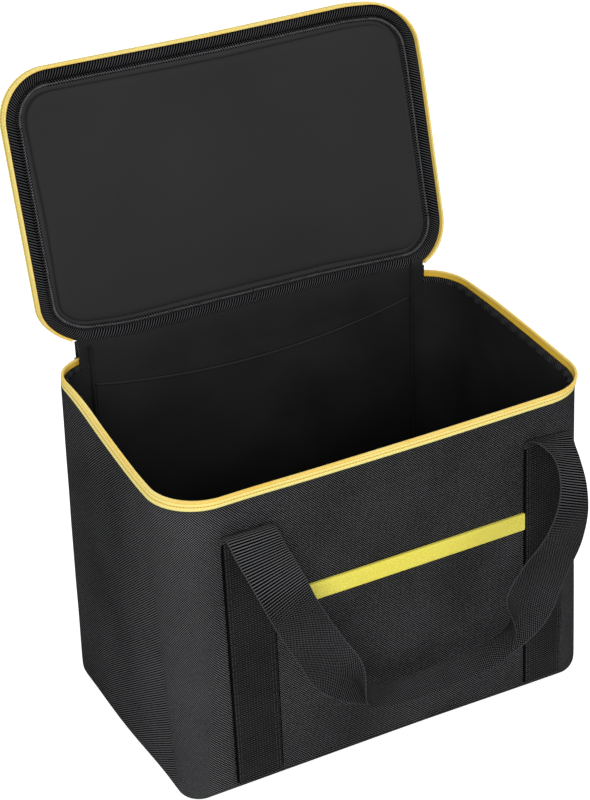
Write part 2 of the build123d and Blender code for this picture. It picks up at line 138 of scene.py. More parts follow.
def narrowed(x, y, down):
    """Points of the walls drawn in towards the floor: both sides, more at the front, and the back.
    The front wall steps in a little too, at its right."""
    front = smooth((60 * MM - y) / (140 * MM))
    left = 0.014 * (1 - front) + 0.03 * front**2.2
    most = np.where(x < 0, left, 0.014 + 0.048 * front) * rim_half_x
    side = np.sign(x) * smooth((np.abs(x) - 118 * MM) / (52 * MM))
    share = down / rim_z
    back = smooth((y - 10 * MM) / (80 * MM))
    step = 2 * MM * smooth(-y / (80 * MM)) * smooth(x / (150 * MM))
    return x - side * most * share**0.75, y - (10.5 * MM * back + step) * share


def rim_points(along, inset, height):
    """Points at distances along the rim, an inset from the outer cloth, at a height."""
    along, inset, height = np.broadcast_arrays(along, inset, height)
    angle = np.interp(along, course, heading)
    down = np.maximum(rim_z - height, 0)
    radius = corner_size(down, np.interp(along, course, corner_tighter))
    reach_x = rim_half_x + down * wall_slope - radius
    reach_y = rim_half_y + down * wall_slope - radius
    x = np.interp(along, course, corner_side) * reach_x + np.cos(angle) * (radius - inset)
    y = np.interp(along, course, corner_end) * reach_y + np.sin(angle) * (radius - inset)
    x, y = narrowed(x, y, down)
    return np.stack([x, y, height], -1)


def raised(points, along):
    """Points near the rim, raised with it towards the hinge. Its open mouth leans to the right."""
    share = smooth((points[..., 2] - rim_z + 90 * MM) / (90 * MM))
    points = points.copy()
    lean = rim_lean * (1 - 0.75 * smooth((points[..., 1] - 30 * MM) / (50 * MM)))
    points[..., 0] += lean * np.clip((points[..., 2] - 241.5 * MM) / (8.5 * MM), 0, 1.1)
    points[..., 2] += lift(np.broadcast_to(along, share.shape)) * share
    return points


def ripple(u, v, seed, waves=7, low=8.0, high=30.0):
    """Soft unevenness between about -1 and 1, the same each run."""
    draw = np.random.RandomState(seed)
    total = np.zeros(np.broadcast(u, v).shape)
    for _ in range(waves):
        size = draw.uniform(low, high)
        turn = draw.uniform(0, math.pi)
        phase = draw.uniform(0, 2 * math.pi)
        total = total + np.sin(size * (u * math.cos(turn) + v * math.sin(turn)) * 2 + phase)
    return total / math.sqrt(waves) / 1.4


def hinge_pull(x):
    """How far the hinge pulls in the lid's back edge, most at its left corner."""
    slope = np.interp(x, [-rim_half_x, 60 * MM, rim_half_x], [6 * MM, 2 * MM, -3.5 * MM])
    return slope + 5 * MM * smooth((-x - 95 * MM) / (60 * MM))


def to_lid(points):
    """Points given on the closed lid, turned with it to its open place. The hinge pulls its back
    edge in a little, more at the left. Its front left corner stands out a little, its front right
    corner is rounder, and the tape along its right end leans out."""
    points = np.array(points)
    left = smooth((20 * MM - points[..., 0]) / (190 * MM))
    right = smooth((points[..., 0] - 105 * MM) / (60 * MM))
    front = smooth((-points[..., 1] - 35 * MM) / (70 * MM))
    points[..., 1] -= 2.9 * MM * left * smooth((40 * MM - points[..., 1]) / (140 * MM))
    points[..., 1] += 5 * MM * right * front
    points[..., 0] -= 2.2 * MM * smooth(points[..., 0] / (110 * MM)) + 2.5 * MM * right * front
    edge = np.clip((258.2 * MM - points[..., 2]) / (4 * MM), 0, 1)
    points[..., 2] -= 1.2 * MM * edge * smooth((-points[..., 1] - 30 * MM) / (60 * MM))
    points[..., 0] += 1.5 * MM * right * edge
    points[..., 1] -= hinge_pull(points[..., 0]) * smooth((points[..., 1] - 40 * MM) / (60 * MM))
    return points @ lid_array[:3, :3].T + lid_array[:3, 3]


def placed(points, along, on_lid):
    """Points round the rim, brought to the open lid or to the soft rim of the body."""
    return to_lid(points) if on_lid else raised(points, along)


def mesh_object(name, points, faces, uvs=None, angle=40):
    """An object from points, faces and one texture coordinate per face corner, shaded smooth."""
    mesh = bpy.data.meshes.new(name)
    mesh.from_pydata(np.asarray(points).reshape(-1, 3).tolist(), [], faces)
    if uvs is not None:
        layer = mesh.uv_layers.new(name="cloth")
        layer.data.foreach_set("uv", np.asarray(uvs, np.float32).ravel())
    mesh.polygons.foreach_set("use_smooth", [True] * len(mesh.polygons))
    piece = bpy.data.objects.new(name, mesh)
    bpy.context.scene.collection.objects.link(piece)
    mesh.set_sharp_from_angle(angle=math.radians(angle))
    return piece


def grid_object(name, points, lay, wrap_rows=False, wrap_columns=False, angle=40, flip=False,
                caps=(), closed=False):
    """An object from a grid of points. lay is two grids of texture coordinates in metres, one more
    than the points where the grid wraps round. caps are the columns to close with a face; closed
    fills the first and last row."""
    u, v = lay
    rows, columns = points.shape[:2]
    row_steps = rows if wrap_rows else rows - 1
    column_steps = columns if wrap_columns else columns - 1
    i, j = np.meshgrid(np.arange(row_steps), np.arange(column_steps), indexing="ij")
    i, j = i.ravel(), j.ravel()
    corners = [(i, j), (i, j + 1), (i + 1, j + 1), (i + 1, j)]
    if flip:
        corners.reverse()
    faces = np.stack([(a % rows) * columns + b % columns for a, b in corners], 1).tolist()
    uvs = np.stack([np.stack([u[a, b], v[a, b]], 1) for a, b in corners], 1).reshape(-1, 2)
    for column in caps:
        ring = np.arange(rows)
        if (column == 0) == flip:
            ring = ring[::-1]
        faces.append((ring * columns + column % columns).tolist())
        uvs = np.vstack([uvs, np.stack([u[ring, column], v[ring, column]], 1)])
    piece = mesh_object(name, points, faces, uvs, angle)
    if closed:
        close_ends(piece, rows, columns)
    return piece


def lay_out(u_line, v_line):
    """Two grids of texture coordinates from one line of each."""
    return np.meshgrid(u_line, v_line, indexing="ij")


def unit(vectors):
    """Vectors brought to length 1."""
    return vectors / np.linalg.norm(vectors, axis=-1, keepdims=True)


def shrunk(points, share):
    """Points drawn in towards the middle in plan."""
    return points * [share, share, 1]


def flat_lay(rest):
    """Texture coordinates of a piece laid flat in plan."""
    u = np.vstack([rest[..., 0], rest[:1, :, 0]])
    v = np.vstack([rest[..., 1], rest[:1, :, 1]])
    return u, v


def section_lengths(section):
    """Distances along a closed section, one more than its points."""
    closed = np.vstack([section, section[:1]])
    return np.concatenate([[0], np.cumsum(np.linalg.norm(np.diff(closed, axis=0), axis=1))])


def rim_sweep(name, section, start=0.0, end=None, step=3 * MM, on_lid=False, rib=None):
    """A closed section of (inset, height) in millimetres, carried round the rim. rib is (pitch,
    height, slant)."""
    section = np.array(section) * MM
    whole = end is None
    length = rim_length if whole else end - start
    if rib:
        step = rib[0] / 4
    count = max(int(round(length / step)), 8)
    along = start + length * np.arange(count + (0 if whole else 1)) / count
    middle = section.mean(0)
    grow = np.ones((len(along), 1))
    if rib:
        across = section_lengths(section)[None, :-1]
        grow = grow + rib[1] * np.cos(2 * math.pi * (along[:, None] + rib[2] * across) / rib[0])
    inset = middle[0] + (section[None, :, 0] - middle[0]) * grow
    height = middle[1] + (section[None, :, 1] - middle[1]) * grow
    points = rim_points(along[:, None], inset, height)
    points = placed(points, along[:, None], on_lid)
    u_line = np.append(along, start + length) if whole else along
    lay = lay_out(u_line, section_lengths(section))
    return grid_object(name, points, lay, wrap_rows=whole, wrap_columns=True, angle=50,
                       closed=not whole)


def close_ends(piece, rows, columns):
    """Fill the two open ends of a swept piece."""
    work = bmesh.new()
    work.from_mesh(piece.data)
    work.verts.ensure_lookup_table()
    for row in (0, rows - 1):
        ring = [work.verts[row * columns + k] for k in range(columns)]
        if row == 0:
            ring.reverse()
        work.faces.new(ring).smooth = False
    bmesh.ops.recalc_face_normals(work, faces=work.faces)
    work.to_mesh(piece.data)
    work.free()


# Materials

# How uneven the cloth's threads are in colour, and how far roughness goes below and above its level
FLECK = 0.15
SMOOTHER = 0.06
ROUGHER = 0.08


def shader(tree, kind, inputs=None, **settings):
    """A shader node with its settings and inputs, which are numbers or other nodes' outputs."""
    made = tree.nodes.new(kind)
    for key, value in settings.items():
        setattr(made, key, value)
    for key, value in (inputs or {}).items():
        if isinstance(value, bpy.types.NodeSocket):
            tree.links.new(value, made.inputs[key])
        else:
            made.inputs[key].default_value = value
    return made


def sums(tree, kind, first, second=0.0):
    """A Math node."""
    return shader(tree, "ShaderNodeMath", {0: first, 1: second}, operation=kind).outputs[0]


def product(tree, first, *others):
    """Values multiplied together."""
    for other in others:
        first = sums(tree, "MULTIPLY", first, other)
    return first


def multiply_add(tree, value, factor, added):
    """A value times a factor plus another value."""
    made = shader(tree, "ShaderNodeMath", {0: value, 1: factor, 2: added}, operation="MULTIPLY_ADD")
    return made.outputs[0]


def ranged(tree, value, low, high, first=0.0, last=1.0, kind="LINEAR"):
    """A value carried from one range to another."""
    made = shader(
        tree, "ShaderNodeMapRange",
        {"Value": value, "From Min": low, "From Max": high, "To Min": first, "To Max": last},
        interpolation_type=kind,
    )
    return made.outputs[0]


def blend_colours(tree, share, first, second):
    """A mix of two colours."""
    mixed = shader(
        tree, "ShaderNodeMix", {"Factor": share, "A": first, "B": second}, data_type="RGBA"
    )
    return mixed.outputs["Result"]


def colour(red, green, blue):
    """A colour given as it is seen, in parts of 255."""
    return tuple((part / 255) ** 2.2 for part in (red, green, blue)) + (1.0,)


def surface_base(name):
    """A new material with its tree and its shader."""
    made = bpy.data.materials.new(name)
    made.use_nodes = True
    tree = made.node_tree
    return made, tree, tree.nodes["Principled BSDF"]


def noise(tree, vector, scale, detail):
    """Noise between 0 and 1 at features per metre."""
    made = shader(
        tree, "ShaderNodeTexNoise", {"Vector": vector, "Scale": scale, "Detail": detail}
    )
    return made.outputs["Fac"]


def wave(tree, line, pitch):
    """A sine along a coordinate, between -1 and 1."""
    return sums(tree, "SINE", multiply_add(tree, line, 2 * math.pi / pitch, 0.0))


def cloth_lines(tree, wander=0.00012):
    """The two thread coordinates of a piece, slightly uneven."""
    kind = "ShaderNodeVectorMath"
    coordinates = shader(tree, "ShaderNodeTexCoord")
    flat = coordinates.outputs["UV"]
    uneven = shader(tree, "ShaderNodeTexNoise", {"Vector": flat, "Scale": 260.0, "Detail": 1.0})
    half = (0.5, 0.5, 0.5)
    centred = shader(tree, kind, {0: uneven.outputs["Color"], 1: half}, operation="SUBTRACT")
    scaled = shader(tree, kind, {0: centred.outputs[0], "Scale": wander}, operation="SCALE")
    moved = shader(tree, kind, {0: flat, 1: scaled.outputs[0]}, operation="ADD")
    split = shader(tree, "ShaderNodeSeparateXYZ", {0: moved.outputs[0]})
    return coordinates.outputs["Object"], split.outputs["X"], split.outputs["Y"]


def finish_surface(tree, base, tint, height, depth, strength, roughness, specular):
    """Wire colour, relief and roughness into the shader."""
    tree.links.new(tint, base.inputs["Base Color"])
    tree.links.new(roughness, base.inputs["Roughness"])
    relief = shader(
        tree, "ShaderNodeBump", {"Height": height, "Distance": depth, "Strength": strength}
    )
    tree.links.new(relief.outputs["Normal"], base.inputs["Normal"])
    base.inputs["Specular IOR Level"].default_value = specular


def painted_corner_highlight(tree, place, amount):
    """How much lighter the cloth is painted round the upright front left corner: a painted
    highlight for the light the corner catches.
    """
    split = shader(tree, "ShaderNodeSeparateXYZ", {0: place})
    spans = (("X", -0.120, -0.156), ("Y", -0.010, -0.080), ("Z", 0.250, 0.236))
    masks = [
        ranged(tree, split.outputs[axis], low, high, kind="SMOOTHSTEP") for axis, low, high in spans
    ]
    return multiply_add(tree, product(tree, *masks), amount, 1.0)


def weave_material(name, dark, light, pitch, depth=0.0003, strength=0.8, rough=0.8, specular=0.0,
                   gap=0.0, corner_highlight=0.0):
    """Plain-woven cloth with its own thread pitch, uneven threads and faint wear. When asked for,
    it has a painted highlight round the upright front left corner.
    """
    made, tree, base = surface_base(name)
    place, across, up = cloth_lines(tree)
    height = product(tree, wave(tree, across, pitch), wave(tree, up, pitch * 0.96))
    share = ranged(tree, height, gap, 0.9)
    worn = ranged(tree, noise(tree, place, 16.0, 5.0), 0.3, 0.75, 0.75, 1.25)
    flecks = ranged(tree, noise(tree, place, 500.0, 2.0), 0.35, 0.7, 1 - FLECK, 1 + FLECK)
    uneven = product(tree, share, worn, flecks)
    # Painted highlight: the cloth is made lighter round the upright front left corner
    if corner_highlight:
        uneven = product(tree, uneven, painted_corner_highlight(tree, place, corner_highlight))
    tint = blend_colours(tree, uneven, dark, light)
    roughness = ranged(tree, worn, 0.75, 1.25, rough - SMOOTHER, rough + ROUGHER)
    finish_surface(tree, base, tint, height, depth, strength, roughness, specular)
    return made


def ribbed_material(name, dark, light, pitch, cross_pitch, depth, strength, gap, rough=0.75,
                    bands=(), slant=0.0, braid=0.4, plain=None):
    """Ribbed tape or webbing: ribs across its length, fine threads along it. bands colours stripes
    by the millimetres across the tape: (middle, half width, colour). plain is the height below
    which the ribs fade into an even braid."""
    made, tree, base = surface_base(name)
    place, along, across = cloth_lines(tree, 0.00008)
    ribs = wave(tree, multiply_add(tree, across, slant, along), pitch)
    braided = product(tree, ribs, wave(tree, across, cross_pitch))
    height = sums(tree, "ADD", product(tree, ribs, 1 - braid), product(tree, braided, braid))
    if plain:
        level = shader(tree, "ShaderNodeSeparateXYZ", {0: place}).outputs["Z"]
        ribbed = ranged(tree, level, plain, plain + 0.03)
        flatter = product(tree, braided, 0.7)
        height = shader(tree, "ShaderNodeMix", {0: ribbed, 2: flatter, 3: height}).outputs[0]
    share = ranged(tree, height, gap, 0.9)
    worn = ranged(tree, noise(tree, place, 22.0, 4.0), 0.3, 0.75, 0.8, 1.2)
    tint = blend_colours(tree, product(tree, share, worn), dark, light)
    for middle, half_width, stripe in bands:
        away = sums(tree, "ABSOLUTE", sums(tree, "SUBTRACT", across, middle * MM))
        inside = ranged(tree, away, half_width * MM * 0.6, half_width * MM, 0.85, 0.0)
        tint = blend_colours(tree, inside, tint, stripe)
    roughness = ranged(tree, worn, 0.8, 1.2, rough - SMOOTHER, rough + ROUGHER)
    finish_surface(tree, base, tint, height, depth, strength, roughness, 0.0)
    return made


def smooth_material(name, dark, light, grain=1800.0, depth=0.00008, rough=0.6, specular=0.35,
                    metal=0.0, mottle=18.0):
    """A smooth surface with a fine grain and slight unevenness."""
    made, tree, base = surface_base(name)
    place = shader(tree, "ShaderNodeTexCoord").outputs["Object"]
    fine = noise(tree, place, grain, 2.0)
    broad = noise(tree, place, mottle, 4.0)
    both = sums(tree, "ADD", product(tree, fine, 0.4), product(tree, broad, 0.6))
    tint = blend_colours(tree, ranged(tree, both, 0.35, 0.68), dark, light)
    roughness = ranged(tree, broad, 0.3, 0.7, rough - SMOOTHER, rough + ROUGHER)
    base.inputs["Metallic"].default_value = metal
    finish_surface(tree, base, tint, fine, depth, 0.35, roughness, specular)
    return made


# The charcoal cloth carries a painted highlight on its upright front left corner
charcoal = weave_material(
    "charcoal_oxford", colour(9, 9, 10), colour(122, 122, 124), 2.05 * MM, corner_highlight=1.0
)
lemon_tape = weave_material(
    "lemon_tape", colour(244, 224, 66), colour(255, 248, 128), 1.5 * MM, depth=0.00014,
    strength=0.45, rough=0.65, specular=0.15, gap=-0.9,
)
# Pale yellow of the tapes' paler stripes, made paler still as a painted highlight
pale_yellow_and_highlight = colour(255, 248, 160)
edge_grey = colour(72, 72, 74)
webbing_cloth = ribbed_material(
    "black_webbing", colour(5, 5, 6), colour(112, 112, 114), rib_pitch, 1.7 * MM, 0.0004, 0.8, -0.1,
    braid=0.3, plain=0.165, bands=[(0.2, 0.7, edge_grey), (37.8, 0.7, edge_grey)],
)
# The near-black stripe along each strap's left edge is painted shade, the shadow beside the strap
strap_cloth = ribbed_material(
    "strap_webbing", colour(8, 8, 9), colour(88, 88, 89), rib_pitch, 2.2 * MM, 0.0003, 0.7, -0.2,
    braid=0.7, bands=[(0.5, 1.4, colour(4, 4, 4))],
)
binding_cloth = ribbed_material(
    "ribbed_binding", colour(5, 5, 6), colour(84, 84, 86), 2.1 * MM, 0.9 * MM, 0.0003, 0.7, -0.1,
    slant=0.5, braid=0.2,
)
# The pale stripe along the body tape's lower edge is partly its paler edge, partly painted
# highlight
yellow_tape = ribbed_material(
    "yellow_tape", colour(246, 190, 56), colour(255, 214, 86), 0.9 * MM, 0.7 * MM, 0.00012, 0.4,
    -1.0, rough=0.6, bands=[(1.2, 2.0, pale_yellow_and_highlight), (4.6, 1.3, pale_yellow_and_highlight)],
)
# The lid's tape is a brighter copy of the body's tape: painted light where the lamps light it less
lid_yellow_painted_brighter = ribbed_material(
    "lid_yellow_painted_brighter", colour(250, 204, 86), colour(255, 228, 118), 0.9 * MM, 0.7 * MM, 0.00012, 0.4,
    -1.0, rough=0.6, bands=[(6.4, 2.0, pale_yellow_and_highlight), (1.6, 1.4, pale_yellow_and_highlight)],
)
lining_cloth = smooth_material(
    "black_lining", colour(32, 32, 33), colour(43, 43, 44), specular=0.15
)
pad_cloth = smooth_material(
    "pad_cloth", colour(48, 48, 48), colour(54, 54, 54), 2400.0, rough=0.7, mottle=9.0,
    specular=0.05,
)
yellow_teeth = smooth_material(
    "yellow_teeth", colour(250, 206, 88), colour(255, 240, 156), 900.0, rough=0.42, specular=0.3
)
orange_thread = smooth_material(
    "orange_thread", colour(206, 132, 22), colour(226, 158, 40), rough=0.5, specular=0.3
)
black_thread = smooth_material(
    "black_thread", colour(24, 24, 26), colour(50, 50, 52), rough=0.5, specular=0.3
)
ridge_thread = smooth_material(
    "ridge_thread", colour(66, 66, 68), colour(118, 118, 120), rough=0.5, specular=0.3, mottle=220.0
)
slider_enamel = smooth_material(
    "slider_enamel", colour(38, 38, 40), colour(62, 62, 64), depth=0.00003, rough=0.36, metal=0.6,
    specular=0.5,
)
board_sheet = smooth_material("board_sheet", colour(28, 28, 29), colour(40, 40, 41))
foam_grain = smooth_material("foam_grain", colour(40, 40, 42), colour(62, 62, 64), 700.0)


def dress(piece, material, body=None, replaced=()):
    """Give a piece its material, the body it rides on and the nodes it stands for."""
    piece.data.materials.clear()
    piece.data.materials.append(material)
    if body:
        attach(piece, body)
    if replaced:
        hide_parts(*replaced)


# Stitches


def stitches(name, points, forward, outward, length, width):
    """One mesh of short threads, each lying along its seam and standing a little proud."""
    forward = unit(forward)
    outward = unit(outward)
    sideways = np.cross(forward, outward)
    # Place along the thread, thickness and rise of each ring of points
    rings = [
        (-0.5, 0.35, -0.4), (-0.3, 0.9, 0.25), (0.0, 1.0, 0.45), (0.3, 0.9, 0.25),
        (0.5, 0.35, -0.4),
    ]
    sides = 6
    bars = []
    for place, thick, rise in rings:
        for k in range(sides):
            turn = 2 * math.pi * k / sides
            bars.append(
                points + forward * (place * length)
                + sideways * (math.cos(turn) * thick * width / 2)
                + outward * ((math.sin(turn) * thick * 0.8 + rise) * width / 2)
            )
    cloud = np.stack(bars, 1)
    block = []
    for ring in range(len(rings) - 1):
        for k in range(sides):
            a, b = ring * sides + k, ring * sides + (k + 1) % sides
            block.append([a, b, b + sides, a + sides])
    block.append(list(reversed(range(sides))))
    block.append(list(range((len(rings) - 1) * sides, len(rings) * sides)))
    per = len(rings) * sides
    faces = [[v + n * per for v in face] for n in range(len(points)) for face in block]
    return mesh_object(name, cloud, faces, angle=60)


def rim_stitches(name, inset, height, pitch, start=0.0, end=None, on_lid=False, facing=None,
                 length=None, slant=0.0):
    """Stitches round the rim, facing out from it or one fixed way."""
    end = rim_length if end is None else end
    along = np.arange(start + pitch / 2, end - pitch / 4, pitch)
    here = rim_points(along, inset * MM, height * MM)
    ahead = rim_points(np.mod(along + 1 * MM, rim_length), (inset + slant) * MM, height * MM)
    angle = np.interp(along, course, heading)
    out = np.stack([np.cos(angle), np.sin(angle), 0 * angle], 1)
    if facing is not None:
        out = np.repeat(np.array([facing], float), len(along), 0)
    turn = lid_array[:3, :3].T if on_lid else np.eye(3)
    here, forward, out = placed(here, along, on_lid), (ahead - here) @ turn, out @ turn
    return stitches(name, here, forward, out, length or pitch * 0.72, 0.6 * MM)


def coil(name, level, start, end, on_lid=False):
    """The spiral row of zip teeth, wound round a flat core."""
    turns = int((end - start) / (1.3 * MM))
    steps = 9
    along = start + (end - start) * np.arange(turns * steps + 1) / (turns * steps)
    turn = 2 * math.pi * np.arange(turns * steps + 1) / steps
    inset = (1.2 - 0.85 * np.cos(turn)) * MM
    height = level + 0.55 * MM * np.sin(turn)
    centre = rim_points(along, inset, height)
    angle = np.interp(along, course, heading)
    out = np.stack([np.cos(angle), np.sin(angle), 0 * angle], 1)
    forward = unit(np.gradient(centre, axis=0))
    side = unit(np.cross(forward, out + np.array([0, 0, 0.3])))
    other = np.cross(forward, side)
    sides = 6
    ring = 2 * math.pi * np.arange(sides) / sides
    thread = 0.36 * MM
    points = (
        centre[:, None]
        + side[:, None] * (np.cos(ring)[None, :, None] * thread)
        + other[:, None] * (np.sin(ring)[None, :, None] * thread)
    )
    points = placed(points, along[:, None], on_lid)
    lay = lay_out(along, np.arange(sides + 1) * thread)
    return grid_object(name, points, lay, wrap_columns=True, angle=60)


# Body cloth


def wall_bulge(along, height):
    """How far the soft wall stands out from its boards."""
    up = np.clip(height / rim_z, 0, 1)
    hollow = np.sin(math.pi * up) ** 0.8
    creases = 0.5 * ripple(along, height * 1.4, 3, 9, 9, 26)
    creases = creases + 0.35 * ripple(along, height, 5, 8, 30, 60)
    return (0.55 + 0.4 * creases) * hollow * MM


def cloth_shell(name, along, rings, steps, cap):
    """A cloth that goes all round, from its rings of points and the steps between them."""
    lay = lay_out(np.append(along, rim_length), np.cumsum(steps))
    return grid_object(name, np.stack(rings, 1), lay, wrap_rows=True, flip=True, caps=[cap])


def outer_cloth():
    """The outer cloth of the walls, rolled under the case at the bottom."""
    along = rim_length * np.arange(360) / 360
    under = rim_points(along, bottom_radius, 0.0)
    rings = [shrunk(under, 0.02 + 0.98 * share) for share in (0.0, 0.35, 0.7, 1.0)]
    for turn in np.radians([15, 30, 45, 60, 75, 90]):
        inset = bottom_radius * (1 - math.sin(turn))
        rings.append(rim_points(along, inset, bottom_radius * (1 - math.cos(turn))))
    for height in np.linspace(bottom_radius + 4 * MM, rim_z, 56):
        rings.append(raised(rim_points(along, -wall_bulge(along, height), height), along))
    for inset, drop in ((0.5, -0.35), (1.2, -0.2), (1.4, 1.0), (1.4, 6.0)):
        rings.append(raised(rim_points(along, inset * MM, rim_z - drop * MM), along))
    under_step, rolled_step = 30 * MM, bottom_radius * math.radians(15)
    steps = [0] + [under_step] * 3 + [under_step + rolled_step] + [rolled_step] * 5
    steps += [(rim_z - bottom_radius) / 56] * 56 + [1 * MM] * 4
    piece = cloth_shell("body_cloth", along, rings, steps, 0)
    dress(piece, charcoal, "case", ["outer_wall", "base_panel"])


def flat_sheet(name, count, inset, levels, body, node):
    """A stiff flat sheet with the outline of the case, between two levels."""
    along = rim_length * np.arange(count) / count
    low, high = (rim_points(along, inset, level) for level in levels)
    rest = np.stack([shrunk(low, 0.5), low, high, shrunk(high, 0.5)], 1)
    points = to_lid(rest) if body == "lid" else rest
    piece = grid_object(name, points, flat_lay(rest), wrap_rows=True, flip=True, caps=[0, 3])
    dress(piece, board_sheet, body, [node])


def stiffeners():
    """The sheets inside the walls, the padding in their corners and the sheet in the lid."""
    heights = np.array([12 * MM, 90 * MM, 165 * MM, 233 * MM])
    spans = {
        "back_sheet": (-corner_x, corner_x, ["back_board"]),
        "left_sheet": (course[2], course[3], ["left_board"]),
        "front_sheet": (course[4], course[5], ["front_board"]),
        "right_sheet": (course[6], course[7], ["right_board"]),
        "padding_1": (course[1], course[2], ["corner_foams"]),
        "padding_2": (course[3], course[4], []),
        "padding_3": (course[5], course[6], []),
        "padding_4": (course[7], course[8], []),
    }
    low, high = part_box("base_board")
    flat_sheet("base_sheet", 120, 7.4 * MM, (low.z, high.z), "case", "base_board")
    for name, (start, end, nodes) in spans.items():
        soft = name.startswith("padding")
        along = np.linspace(start + 0.5 * MM, end - 0.5 * MM, 12)[:, None]
        front = rim_points(np.mod(along, rim_length), 1.7 * MM, heights[None, :])
        back = rim_points(np.mod(along, rim_length), (4.9 if soft else 4.7) * MM, heights[None, :])
        looks = (foam_grain, "foam") if soft else (board_sheet, "board")
        slab(name, front, back, along[:, 0], heights, *looks, "case", nodes)
    flat_sheet("lid_sheet", 160, 3.2 * MM, (257.3 * MM, 258.9 * MM), "lid", "lid_board")


def lining_shell():
    """The smooth lining: four walls that give a little between their seams, and the floor."""
    along = rim_length * np.arange(300) / 300
    floor_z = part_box("lining")[0].z + 0.8 * MM
    heights = np.linspace(lining_top, floor_z + 5 * MM, 46)
    rings = []
    for height in heights:
        up = (height - floor_z) / (lining_top - floor_z)
        give = 0.6 * (1 + ripple(along * 1.2, height, 11, 9, 8, 24)) * math.sin(math.pi * up) * MM
        rings.append(raised(rim_points(along, lining_inset + give, height), along))
    for turn in np.radians([20, 40, 60, 80]):
        inset = lining_inset + 5 * MM * (1 - math.cos(turn))
        rings.append(rim_points(along, inset, floor_z + 5 * MM * (1 - math.sin(turn))))
    floor_ring = rim_points(along, lining_inset + 6 * MM, floor_z)
    rings += [shrunk(floor_ring, share) for share in (1.0, 0.75, 0.5, 0.25, 0.02)]
    steps = [0, *-np.diff(heights)] + [2 * MM] * 4 + [30 * MM] * 5
    piece = cloth_shell("lining_cloth", along, rings, steps, len(rings) - 1)
    dress(piece, lining_cloth, "case", ["lining"])


def half_round(inset, height, width, rise, base, count=10):
    """A section of a roll: flat at the back, rounded at the front, in millimetres."""
    front = [
        (inset + width / 2 - width / 2 * math.cos(math.pi * k / count),
         height + rise * math.sin(math.pi * k / count) ** 0.8)
        for k in range(count + 1)
    ]
    return front + [(inset + width, height - base), (inset, height - base)]


def trim(name, section, material, slot, body, nodes, *ends, **settings):
    """A section carried round the rim of the body or of the lid, with its looks."""
    piece = rim_sweep(name, section, *ends, on_lid=body == "lid", **settings)
    dress(piece, material, body, nodes)


def zip_half(kind, band, tape_yellow, stitch_level, core, level, body, ends):
    """One half of the zip: its tape, the stitches along it, and the teeth round their core."""
    on_lid = body == "lid"
    trim(f"{kind}_tape", band, tape_yellow, "zip_tape", body, [f"{kind}_zip_tape"], *ends,
         step=2.5 * MM)
    threads = rim_stitches(f"{kind}_tape_stitches", 0.28, stitch_level, 2.4 * MM, *ends,
                           on_lid=on_lid)
    dress(threads, orange_thread, body)
    low, high = core
    section = [(0.5, low), (0.5, high), (1.9, high), (1.9, low)]
    trim(f"{kind}_coil_core", section, yellow_teeth, "zip_teeth", body, [], *ends)
    teeth = coil(f"{kind}_teeth", level * MM, *ends, on_lid=on_lid)
    dress(teeth, yellow_teeth, body, [f"{kind}_zip_coil"])


def zip_ends(degrees):
    """Distances along the rim where the zip starts and ends, at an angle round the corners."""
    start = corner_x + corner_radius * math.radians(degrees)
    return start, rim_length - start


def rim_trim():
    """The body's half of the zip, and the bound edge inside the rim."""
    ends = zip_ends(15)
    band = [
        (0.45, 242.6), (0.12, 243.0), (0.02, 243.8), (0.05, 245.0), (0.3, 245.5), (0.3, 245.8),
        (0.05, 246.3), (0.05, 247.4), (0.25, 248.0), (0.9, 248.2), (1.5, 248.0), (1.5, 242.9),
        (1.0, 242.6),
    ]
    zip_half("body", band, yellow_tape, 245.65, (248.2, 249.8), 249.1, "case", ends)
    trim("rim_roll", half_round(1.9, 243.4, 4.4, 2.2, 1.2), binding_cloth, "binding", "case",
         ["rim_binding"], ends[0] - 6 * MM, ends[1] + 6 * MM, rib=(1.8 * MM, 0.06, 0.4))
    fold = [
        (-0.9, 239.5), (-1.4, 245.0), (-1.3, 251.6), (0.4, 254.0), (2.4, 252.8), (2.8, 246.0),
        (2.6, 239.5), (1.0, 238.8),
    ]
    for end_name, middle, nodes in (("left", ends[0], ["zip_end_tabs"]), ("right", ends[1], [])):
        trim(f"end_tab_{end_name}", fold, binding_cloth, "binding", "case", nodes,
             middle - 7 * MM, middle + 3 * MM, step=0.8 * MM)


# Lid


def lid_cloth():
    """The outer cloth of the lid, crowned over its board."""
    along = rim_length * np.arange(360) / 360
    rows = []
    edge = [
        (2.6, 257.4), (1.7, 258.0), (1.55, 259.2), (1.7, 260.2), (2.6, 260.9), (4.5, 261.3),
        (8.0, 261.7), (14.0, 262.2),
    ]
    for inset, height in edge:
        puff = 0.12 * ripple(along, 0 * along + height, 21, 6, 10, 30) * (inset > 2)
        rows.append(rim_points(along, inset * MM, height * MM + puff * MM))
    outline = rim_points(along, 14 * MM, 262.2 * MM)
    for share in np.linspace(0.94, 0.0, 22):
        ring = shrunk(outline, max(share, 0.002))
        uneven = 0.25 * ripple(ring[:, 0] * 1.5, ring[:, 1] * 1.5, 23, 8, 8, 22)
        ring[:, 2] += ((1 - share**2) * 2.2 + uneven) * MM
        rows.append(ring)
    rest = np.stack(rows, 1)
    piece = grid_object("lid_cloth", to_lid(rest), flat_lay(rest), wrap_rows=True, flip=True,
                        caps=[rest.shape[1] - 1])
    dress(piece, charcoal, "lid", ["lid_panel"])


